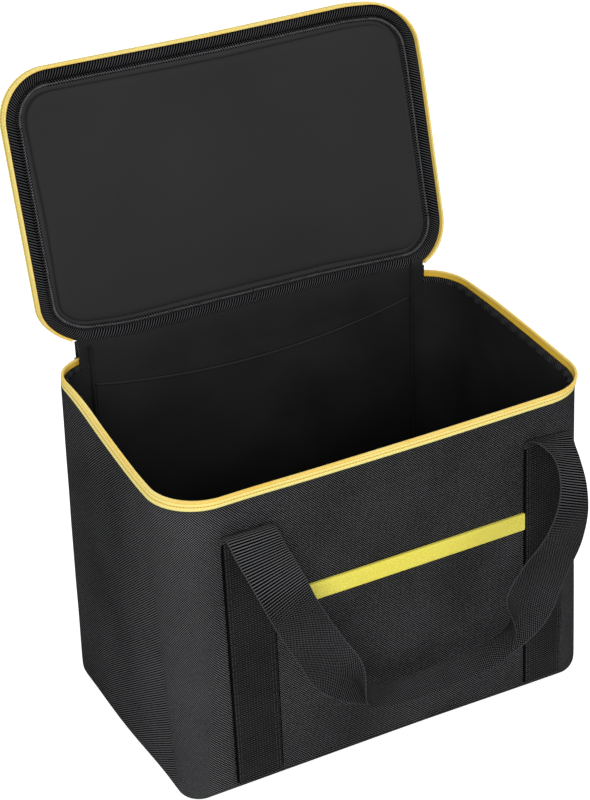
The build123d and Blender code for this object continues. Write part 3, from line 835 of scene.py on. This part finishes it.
def lid_trim():
    """The lid's half of the zip, the ribbed roll inside it and the stitched ridge."""
    band = [
        (0.3, 260.6), (0.1, 260.0), (0.05, 258.2), (0.3, 257.6), (0.3, 257.2), (0.05, 256.6),
        (0.1, 254.9), (0.3, 254.3), (1.2, 254.2), (1.6, 254.6), (1.6, 260.2), (1.2, 260.6),
    ]
    # The lid's half of the zip takes the tape's brighter copy, painted light
    zip_half("lid", band, lid_yellow_painted_brighter, 257.4, (252.7, 254.3), 253.35, "lid", zip_ends(26))
    backing = [(1.5, 256.2), (1.5, 256.9), (15.0, 256.9), (15.0, 256.2)]
    roll = half_round(2.5, 256.4, 8.4, -2.9, -0.4, count=12)
    ridge = half_round(12.0, 256.4, 2.2, -1.9, -0.4, count=8)
    for name, section, nodes, rib in (
        ("lid_backing", backing, [], None),
        ("lid_roll", roll, ["lid_binding"], (2.1 * MM, 0.06, 0.5)),
        ("lid_ridge", ridge, ["lid_piping"], (2.6 * MM, 0.1, 0.8)),
    ):
        trim(name, section, binding_cloth, "binding", "lid", nodes, rib=rib)
    threads = rim_stitches("lid_ridge_stitches", 13.1, 254.55, 2.0 * MM, on_lid=True,
                           facing=(0, 0, -1), length=2.3 * MM, slant=0.9)
    dress(threads, ridge_thread, "lid")


def lid_pad():
    """The padded inner face of the lid, swollen by a cloth simulation."""
    along = rim_length * np.arange(300) / 300
    inner = 2.2 * MM * (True)
    profile = [
        (14.4, 256.8), (14.5, 255.4), (15.2, 254.3), (16.6, 253.6), (18.6, 253.2), (21.0, 253.2),
        (24.0, 253.4), (28.0, 253.6), (33.0, 253.6),
    ]
    rows = [rim_points(along, inset * MM + inner, height * MM) for inset, height in profile]
    outline = rows[-1]
    for share in np.linspace(0.95, 0.0, 26):
        ring = shrunk(outline, max(share, 0.002))
        uneven = 0.3 * ripple(ring[:, 0], ring[:, 1], 31, 8, 8, 20)
        ring[:, 2] -= (uneven + 0.5 * (1 - share**2)) * MM
        rows.append(ring)
    backs = [shrunk(rows[0], share) for share in (0.002, 0.25, 0.5, 0.75)]
    rest = np.stack(backs + rows, 1)
    points, faces = swollen(rest)
    piece = mesh_object("lid_padding", to_lid(points), faces)
    rounding = piece.modifiers.new("rounding", "SUBSURF")
    rounding.levels = 1
    rounding.render_levels = 1
    dress(piece, pad_cloth, "lid", ["lid_pad"])


def swollen(rest):
    """A closed, flat shape blown up by a cloth simulation. It is simulated four times as thick as
    it is, so that the remesh keeps it, and its moves are evened out and scaled down together."""
    scene = bpy.context.scene
    thicker = np.array([1.0, 1.0, 4.0])
    middle = np.array([0, 0, 255.0 * MM])
    sideways_share = 0.4
    largest_move = 7 * MM
    frames = 20
    evening_rounds = 16
    source = grid_object("pad_source", (rest - middle) * thicker, flat_lay(rest), wrap_rows=True,
                         caps=[0, rest.shape[1] - 1])
    remesh = source.modifiers.new("voxels", "REMESH")
    remesh.mode = "VOXEL"
    remesh.voxel_size = 5 * MM
    cloth_piece = bpy.data.objects.new("pad_cloth_piece", applied(source))
    scene.collection.objects.link(cloth_piece)
    start = point_places(cloth_piece.data)
    cloth = cloth_piece.modifiers.new("cloth", "CLOTH").settings
    cloth.use_pressure = True
    cloth.uniform_pressure_force = 4.0
    cloth.effector_weights.gravity = 0.0
    cloth.quality = 5
    for number in range(1, frames + 1):
        scene.frame_set(number)
    done = applied(cloth_piece)
    move = point_places(done) - start
    edges = np.array([edge.vertices[:] for edge in done.edges])
    ways = np.bincount(edges.ravel(), minlength=len(move))[:, None]
    for _ in range(evening_rounds):
        total = np.zeros_like(move)
        np.add.at(total, edges[:, 0], move[edges[:, 1]])
        np.add.at(total, edges[:, 1], move[edges[:, 0]])
        move = 0.5 * (move + total / ways)
    far = np.linalg.norm(move, axis=1).max()
    move = move * [sideways_share, sideways_share, 1] * min(1, largest_move / far)
    faces = [list(face.vertices) for face in done.polygons]
    scene.frame_set(1)
    for piece in (source, cloth_piece):
        bpy.data.objects.remove(piece)
    return (start + move) / thicker + middle, faces


def point_places(mesh):
    """The places of a mesh's points."""
    places = np.empty(len(mesh.vertices) * 3)
    mesh.vertices.foreach_get("co", places)
    return places.reshape(-1, 3)


def applied(piece):
    """A new mesh of an object with its modifiers applied."""
    graph = bpy.context.evaluated_depsgraph_get()
    graph.update()
    return bpy.data.meshes.new_from_object(piece.evaluated_get(graph))


# Heights given for the bend of the hinge's inner cloth, which the code doesn't use
inner_bend = (246.0 * MM, 261.5 * MM)


def hinge_cloth():
    """The two layers of cloth that join the lid to the back of the rim, shaped to the open lid."""
    half = corner_x + 13 * MM
    x_line = np.linspace(-half, half, 90)
    layers = {
        "hinge_outer": (
            [(104.9, 240.0), (105.9, 243.0), (106.1, 246.0), (105.9, 250.0), (105.4, 254.0),
             (104.9, 257.5), (104.6, 259.2)],
            charcoal, ["hinge_strip_lower", "hinge_strip_upper"], (248.5 * MM, 258.5 * MM),
        ),
        "hinge_inner": (
            [(99.4, 234.0), (99.2, 240.0), (99.0, 246.0), (99.0, 252.0), (99.2, 257.0),
             (99.7, 261.5), (100.6, 265.5), (101.6, 268.5)],
            lining_cloth, [], inner_bend,
        ),
    }
    for name, (profile, material, nodes, (low, high)) in layers.items():
        profile = np.array(profile) * MM
        places = np.linspace(0, len(profile) - 1, 28)
        fine = np.stack([np.interp(places, np.arange(len(profile)), line) for line in profile.T], 1)
        for _ in range(3):
            fine[1:-1] = (fine[:-2] + 2 * fine[1:-1] + fine[2:]) / 4
        front = np.zeros((len(x_line), len(fine), 3))
        front[..., 0] = x_line[:, None]
        round_off = 0.5 * np.maximum(np.abs(x_line[:, None]) - corner_x, 0) ** 2 / corner_radius
        front[..., 1] = fine[None, :, 0] - round_off
        front[..., 1] += 0.25 * MM * ripple(x_line[:, None], fine[None, :, 1], 41)
        front[..., 2] = fine[None, :, 1]
        rise = hinge_pull(x_line)[:, None] * np.linspace(0, 1, len(fine))[None, :] ** 1.5
        front[..., 2] += rise * math.sin(lid_turn)
        front[..., 1] -= rise * math.cos(lid_turn)
        back = front[:, ::-1].copy()
        back[..., 1] += 0.9 * MM
        points = np.concatenate([front, back], 1)
        lay = lay_out(x_line, np.arange(points.shape[1] + 1) * 0.9 * MM)
        piece = grid_object(name, points, lay, wrap_columns=True, closed=True)
        dress(piece, material, None, nodes)
        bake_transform(piece)


# Webbing


def on_wall(x, height, side, out):
    """A point at a distance from the middle of the front or back wall, standing out from it."""
    x, height, out = np.broadcast_arrays(x, height, out)
    down = np.maximum(rim_z - height, 0)
    radius = corner_size(down, np.where(x < 0, tighter_left, tighter_right) if side < 0 else 0)
    flat = rim_half_x + down * wall_slope - radius
    turn = np.maximum(np.abs(x) - flat, 0) / radius
    across = np.sign(x) * (np.minimum(np.abs(x), flat) + (radius + out) * np.sin(turn))
    y = side * (rim_half_y + down * wall_slope - radius + (radius + out) * np.cos(turn))
    across, y = narrowed(across, y, down)
    return np.stack([across, y, height], -1)


def slab(name, front, back, u_line, v_line, material, slot, body, replaced=()):
    """A thin piece of cloth with a front and a back face, closed round its edges."""
    points = np.concatenate([front, back[:, ::-1]], 1)
    lengths = np.concatenate([v_line, v_line[-1] + 0.5 * MM + (v_line[-1] - v_line[::-1]),
                              [2 * v_line[-1] + MM]])
    piece = grid_object(name, points, lay_out(u_line, lengths), wrap_columns=True, closed=True)
    dress(piece, material, body, replaced)
    return piece


def wall_slab(name, x, height, side, outer, inner, u_line, v_line, material, slot, node):
    """A thin piece of cloth along the front or back wall, between two distances out from it."""
    faces = [on_wall(x, height, side, out) for out in (outer, inner)]
    return slab(name, *faces, u_line, v_line, material, slot, "case", [node])


def wall_strap(name, side, middle, node):
    """A strap of webbing sewn flat up the wall, with two seams along each edge."""
    top = 212.5 * MM
    across = np.linspace(-webbing_width / 2, webbing_width / 2, 17)
    share = np.clip((webbing_width / 2 - np.abs(across)) / (0.8 * MM), 0, 1)
    thick = 1.5 * MM * (0.35 + 0.65 * np.sqrt(share))
    height = np.linspace(8.2 * MM, top, 120)
    ribs = 0.03 * MM * np.cos(2 * math.pi * height / rib_pitch)
    stand = 0.9 * MM
    hugging = 0.25 * MM * ripple(height[:, None] * 2, across[None, :] * 2, 51)
    outer = stand + thick[None, :] + ribs[:, None] + hugging
    wall_slab(name, middle + across[None, :], height[:, None], side, outer, stand - 0.4 * MM,
              height, across + webbing_width / 2, strap_cloth, "webbing", node)
    marks = np.arange(12 * MM, top - 2 * MM, 3.2 * MM)
    seams = [
        on_wall(middle + place * MM + 0 * marks, marks, side, stand + 1.62 * MM)
        for place in (-16.6, -14.2, 14.2, 16.6)
    ]
    here = np.concatenate(seams)
    up = np.repeat([[0.0, 0.0, 1.0]], len(here), 0)
    out = np.repeat([[0.0, float(side), 0.0]], len(here), 0)
    threads = stitches(f"{name}_seams", here, up, out, 2.3 * MM, 0.55 * MM)
    dress(threads, black_thread, "case")


# Guide points along a handle: place in millimetres (across from the left strap's middle, out from
# the wall, up), direction across the webbing, and how folded it is. Most come from a scratch fit of
# the webbing's edges to the photograph, evened out and rounded
left_leg = (
    (0.0, 0.9, 205.0, 1.0, 0.0, 0.0, 0.0),
    (0.0, 1.2, 211.0, 1.0, 0.0, 0.0, 0.0),
    (0.0, 3.6, 217.7, 1.0, 0.0, 0.0, 0.0),
    (0.0, 10.8, 219.9, 1.0, -0.03, -0.01, 0.0),
    (0.5, 21.0, 213.6, 0.99, -0.08, 0.03, 0.0),
    (3.2, 37.7, 201.0, 0.98, -0.15, 0.12, 0.0),
    (7.7, 46.7, 186.4, 0.95, -0.2, 0.22, 0.0),
    (12.8, 50.5, 172.0, 0.92, -0.26, 0.3, 0.0),
    (24.4, 55.3, 146.3, 0.89, -0.27, 0.38, 0.0),
    (37.9, 55.8, 119.2, 0.81, -0.15, 0.55, 0.16),
    (55.3, 59.4, 99.7, 0.6, -0.09, 0.77, 0.72),
    (75.2, 59.2, 89.4, 0.29, -0.21, 0.93, 1.0),
)
grip = (
    (95.3, 58.4, 86.0, 0.08, -0.33, 0.94, 1.0),
    (117.3, 58.4, 86.2, -0.04, -0.4, 0.92, 1.0),
    (136.2, 59.7, 88.2, -0.09, -0.45, 0.9, 1.0),
)
right_leg = (
    (153.9, 61.4, 91.8, -0.22, -0.52, 0.82, 1.0),
    (172.6, 60.5, 99.5, -0.47, -0.54, 0.68, 0.72),
    (191.2, 55.6, 113.2, -0.67, -0.48, 0.53, 0.16),
    (211.5, 51.0, 139.0, -0.83, -0.11, 0.49, 0.0),
    (226.8, 53.0, 167.0, -0.87, 0.13, 0.47, 0.0),
    (234.6, 48.9, 182.6, -0.85, 0.23, 0.5, 0.0),
    (240.7, 39.6, 197.8, -0.81, 0.31, 0.51, 0.0),
    (243.6, 24.0, 212.2, -0.83, 0.29, 0.46, 0.0),
    (242.9, 12.4, 217.6, -0.93, 0.17, 0.3, 0.0),
    (242.2, 4.5, 217.9, -0.99, 0.06, 0.1, 0.0),
    (242.0, 1.2, 211.0, -1.0, 0.0, 0.0, 0.0),
    (242.0, 0.9, 205.0, -1.0, 0.0, 0.0, 0.0),
)
middle_guide = (121.0, 59.0, 85.6, 0.0, -0.36, 0.93, 1.0)


def spline(values, count):
    """Smooth values through guide points, evenly spaced along the guide's length."""
    values = np.asarray(values, float)
    steps = np.linalg.norm(np.diff(values[:, :3], axis=0), axis=1)
    knots = np.concatenate([[0], np.cumsum(steps)])
    slopes = np.gradient(values, knots, axis=0)
    where = np.linspace(0, knots[-1], count)
    index = np.clip(np.searchsorted(knots, where, "right") - 1, 0, len(knots) - 2)
    span = (knots[index + 1] - knots[index])[:, None]
    t = ((where - knots[index])[:, None]) / span
    a, b = values[index], values[index + 1]
    ma, mb = slopes[index] * span, slopes[index + 1] * span
    curve = (
        (2 * t**3 - 3 * t**2 + 1) * a + (t**3 - 2 * t**2 + t) * ma
        + (-2 * t**3 + 3 * t**2) * b + (t**3 - t**2) * mb
    )
    return where, curve


def handle_webbing(name, side, shift, node, guides):
    """One handle: webbing that leaves the wall, folds over, hangs down and is folded in two at the
    grip."""
    both = np.array(guides)
    both[:, :3] *= MM
    both[:, 0] -= strap_middle
    where, curve = spline(both, 640)
    centre = np.stack([curve[:, 0] + shift, side * (rim_half_y + curve[:, 1]), curve[:, 2]], 1)
    close = smooth((12 * MM - curve[:, 1]) / (8 * MM))
    centre[:, 1] += side * np.maximum(rim_z - curve[:, 2], 0) * wall_slope * close
    width_way = np.stack([curve[:, 3], side * curve[:, 4], curve[:, 5]], 1)
    fold = np.clip(curve[:, 6], 0, 1)
    along = unit(np.gradient(centre, axis=0))
    width_way = unit(width_way - along * (width_way * along).sum(1, keepdims=True))
    facing = np.cross(width_way, along)
    facing *= np.sign((facing * np.array([0, side, 0.35])).sum(1, keepdims=True) + 1e-9)
    half = webbing_width / 2
    crease = centre + width_way * (fold * half / 2)[:, None]
    turn = fold * math.pi * 0.955
    inner_way = width_way * np.cos(turn)[:, None] + facing * np.sin(turn)[:, None]
    outer_way = -width_way * np.cos(turn * 0.03)[:, None] - facing * np.sin(turn * 0.03)[:, None]
    across = np.linspace(-1, 1, 23)
    soft = 0.09
    plus = soft * np.log1p(np.exp(across / soft))
    minus = soft * np.log1p(np.exp(-across / soft))
    spread = inner_way[:, None] * plus[None, :, None] + outer_way[:, None] * minus[None, :, None]
    sheet = crease[:, None] + half * spread
    from_end = np.minimum(where, where[-1] - where)[:, None]
    cup = 0.8 * MM * (across[None, :] ** 2 - 0.3) * (1 - fold[:, None])
    cup = cup * smooth(from_end / (60 * MM))
    normal = unit(np.cross(np.gradient(sheet, axis=1), np.gradient(sheet, axis=0)))
    normal *= np.sign((normal[:, :1] * facing[:, None]).sum(2, keepdims=True) + 1e-9)
    edge = np.clip((1 - np.abs(across)) / 0.045, 0, 1)
    rib_share = 0.05 * MM * np.cos(2 * math.pi * where / rib_pitch)
    thick = (0.72 * MM * (0.45 + 0.55 * np.sqrt(edge)))[None, :] + rib_share[:, None]
    uneven = 0.3 * MM * ripple(where[:, None] * 1.5, across[None, :] * 0.03, 61)
    uneven = uneven * smooth(from_end / (40 * MM))
    sheet = sheet + normal * (cup + uneven)[..., None]
    front = sheet + normal * thick[..., None]
    back = sheet - normal * thick[..., None]
    width = (across + 1) * half
    piece = slab(name, front, back, where, width, webbing_cloth, "webbing", None, [node])
    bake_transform(piece)


def pocket_front():
    """The flat pocket between the front straps and its lemon-yellow edge."""
    half = 101.6 * MM
    x_line = front_shift + np.linspace(-half, half, 80)
    height = np.linspace(11 * MM, 157.5 * MM, 60)
    share = (x_line - front_shift) / half
    loose = 0.9 * MM * np.outer(1 - share**2, smooth(height / (160 * MM)) ** 3)
    ripples = 0.3 * MM * ripple(x_line[:, None], height[None, :], 71, 8, 8, 26)
    stand = 1.0 * MM + loose + ripples * np.outer(1 - share**4, np.ones(60))
    pocket = wall_slab("pocket_cloth", x_line[:, None], height[None, :], -1, stand + 0.9 * MM,
                       stand - 0.1 * MM, x_line, height, charcoal, "oxford", "front_pocket")
    up = np.linspace(0, 1, 12)
    low = (144.4 + 0.5 * share) * MM
    trim_height = low[:, None] + up[None, :] * (158.0 * MM + 0.5 * MM * share - low)[:, None]
    trim_loose = 0.9 * MM * (1 - share[:, None] ** 2) * smooth(trim_height / (160 * MM)) ** 3
    edge = 1 - 0.6 * np.abs(2 * up - 1) ** 6
    trim_x = front_shift + share[:, None] * (half + 0.8 * MM)
    outer = 2.3 * MM + trim_loose + 0.5 * MM * edge
    tape = wall_slab("trim_tape", trim_x, trim_height, -1, outer, 0.6 * MM + trim_loose, x_line,
                     up * 14 * MM, lemon_tape, "trim", "pocket_trim")


def pocket_inside():
    """The pocket on the lining of the back wall, its hem, and the piping of the corners."""
    half = 134 * MM
    x_line = np.linspace(-half, half, 80)
    share = x_line / half
    top = 233.0 * MM - 14 * MM * (1 - share**2)
    rows = np.linspace(0, 1, 50)
    height = 9 * MM + rows[None, :] * (top[:, None] - 9 * MM)
    stand = -(lining_inset + 0.9 * MM) - 1.5 * MM * np.outer(1 - share**2, rows**6)
    stand = stand - 0.3 * MM * ripple(x_line[:, None], height, 81, 8, 8, 24)
    looks = (lining_cloth, "lining")
    pocket = wall_slab("inner_pocket_cloth", x_line[:, None], height, 1, stand + 0.3 * MM,
                       stand - 0.5 * MM, x_line, rows * 0.21, *looks, "inner_pocket")
    hem = top[:, None] + np.linspace(-1.2 * MM, 1.2 * MM, 10)[None, :]
    bulge = 0.8 * MM * np.sqrt(np.clip(1 - np.linspace(-1, 1, 10) ** 2, 0.02, 1))
    stand = -(lining_inset + 1.2 * MM) - 1.5 * MM * (1 - share**2)[:, None]
    hem_piece = wall_slab("inner_hem", x_line[:, None], hem, 1, stand + bulge, stand - bulge,
                          x_line, np.linspace(0, 2.4 * MM, 10), *looks, "inner_pocket_hem")
    for end_name, end in (("left", -1), ("right", 1)):
        ring = 2 * math.pi * np.arange(10) / 10
        height = np.linspace(7.5 * MM, 266 * MM, 110)[:, None]
        bump = 1.5 * MM
        x = end * 136.5 * MM + bump * np.cos(ring)[None, :]
        out = -(lining_inset + 1.2 * MM) + bump * np.sin(ring)[None, :]
        points = on_wall(x, height, 1, out)
        lay = lay_out(height[:, 0], np.arange(11) * 0.9 * MM)
        piece = grid_object(f"piping_{end_name}", points, lay, wrap_columns=True, flip=end < 0,
                            closed=True)
        dress(piece, lining_cloth, None, [f"corner_piping_{end_name}"])
        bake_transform(piece)


def carried_over():
    """A procedural finish for the solids that keep their own shape."""
    for node_name in ("slider_left", "slider_right", "pull_left", "pull_right"):
        node = frame["nodes"][node_name]
        node.data.materials.clear()
        node.data.materials.append(slider_enamel)


# Stage


def camera():
    """The camera at the photograph's viewing angle, found by a fit to the case's outlines."""
    azimuth, elevation, roll = (math.radians(value) for value in (-26.756, 30.704, -1.874))
    target = Vector((-1.41, 35.37, 212.46)) * MM
    distance = 1740.2 * MM
    lens = bpy.data.cameras.new("camera")
    lens.sensor_width = 36
    lens.sensor_fit = "AUTO"
    lens.lens = 2336.8 * lens.sensor_width / 800
    lens.clip_start = 0.05
    holder = bpy.data.objects.new("camera", lens)
    bpy.context.scene.collection.objects.link(holder)
    holder.matrix_world = (
        Matrix.Translation(target)
        @ Matrix.Rotation(azimuth, 4, "Z")
        @ Matrix.Rotation(math.pi / 2 - elevation, 4, "X")
        @ Matrix.Rotation(roll, 4, "Z")
        @ Matrix.Translation((0, 0, distance))
    )
    bpy.context.scene.camera = holder


def lamp(name, place, aim, size, power):
    """A soft square lamp."""
    light = bpy.data.lights.new(name, "AREA")
    light.size = size
    light.energy = power
    holder = bpy.data.objects.new(name, light)
    bpy.context.scene.collection.objects.link(holder)
    way = Vector(aim) - Vector(place)
    turned = way.to_track_quat("-Z", "Y").to_matrix().to_4x4()
    holder.matrix_world = Matrix.Translation(place) @ turned


def seen_directly(tree):
    """1 for camera, glossy and transmission rays, 0 for the rays that light the scene."""
    rays = shader(tree, "ShaderNodeLightPath").outputs
    seen = sums(tree, "MAXIMUM", rays["Is Camera Ray"], rays["Is Glossy Ray"])
    return sums(tree, "MAXIMUM", seen, rays["Is Transmission Ray"])


def studio():
    """A pale floor, soft lamps and a white background."""
    scene = bpy.context.scene
    scene.view_settings.view_transform = "Standard"
    world = bpy.data.worlds.new("studio")
    scene.world = world
    world.use_nodes = True
    tree = world.node_tree
    tree.nodes.clear()
    seen = seen_directly(tree)
    lit = shader(tree, "ShaderNodeBackground", {"Color": (0.97, 0.98, 1.0, 1), "Strength": 0.42})
    white = shader(tree, "ShaderNodeBackground", {"Color": (1, 1, 1, 1), "Strength": 1.0})
    mixed = shader(tree, "ShaderNodeMixShader", {0: seen, 1: lit.outputs[0], 2: white.outputs[0]})
    shader(tree, "ShaderNodeOutputWorld", {0: mixed.outputs[0]})
    size = 6.0
    floor = mesh_object(
        "floor", [(-size, -size, 0), (size, -size, 0), (size, size, 0), (-size, size, 0)],
        [(0, 1, 2, 3)],
    )
    floor.location.z = -0.0002
    made, tree, base = surface_base("pale_floor")
    base.inputs["Base Color"].default_value = (0.62, 0.62, 0.62, 1)
    base.inputs["Roughness"].default_value = 0.9
    base.inputs["Emission Color"].default_value = (1, 1, 1, 1)
    tree.links.new(product(tree, seen_directly(tree), 0.8), base.inputs["Emission Strength"])
    floor.data.materials.append(made)
    lamp("key", (-1.25, -2.3, 1.35), (0, 0, 0.15), 1.1, 38)
    lamp("fill", (1.9, -1.7, 1.2), (0, 0, 0.2), 1.8, 10)
    lamp("top", (0.2, 0.3, 2.4), (0, 0, 0.1), 1.6, 10)
    lamp("back", (-0.6, 2.2, 1.5), (0, 0, 0.2), 1.4, 8)


camera()
studio()
outer_cloth()
stiffeners()
lining_shell()
rim_trim()
lid_cloth()
lid_trim()
lid_pad()
hinge_cloth()
mirrored_leg = tuple(
    (2 * strap_middle / MM - x, y, z, -way_x, way_y, way_z, fold)
    for x, y, z, way_x, way_y, way_z, fold in reversed(left_leg + grip[:1])
)
handle_guides = {
    "front": left_leg + grip + right_leg,
    "back": left_leg + grip[:1] + (middle_guide,) + mirrored_leg,
}
for wall, side, shift in (("front", -1, front_shift), ("back", 1, 0.0)):
    for end_name, end in (("left", -1), ("right", 1)):
        wall_strap(f"{wall}_webbing_{end_name}", side, shift + end * strap_middle,
                   f"{wall}_strap_{end_name}")
    handle_webbing(f"{wall}_handle_webbing", side, shift, f"{wall}_handle", handle_guides[wall])
pocket_front()
pocket_inside()
carried_over()
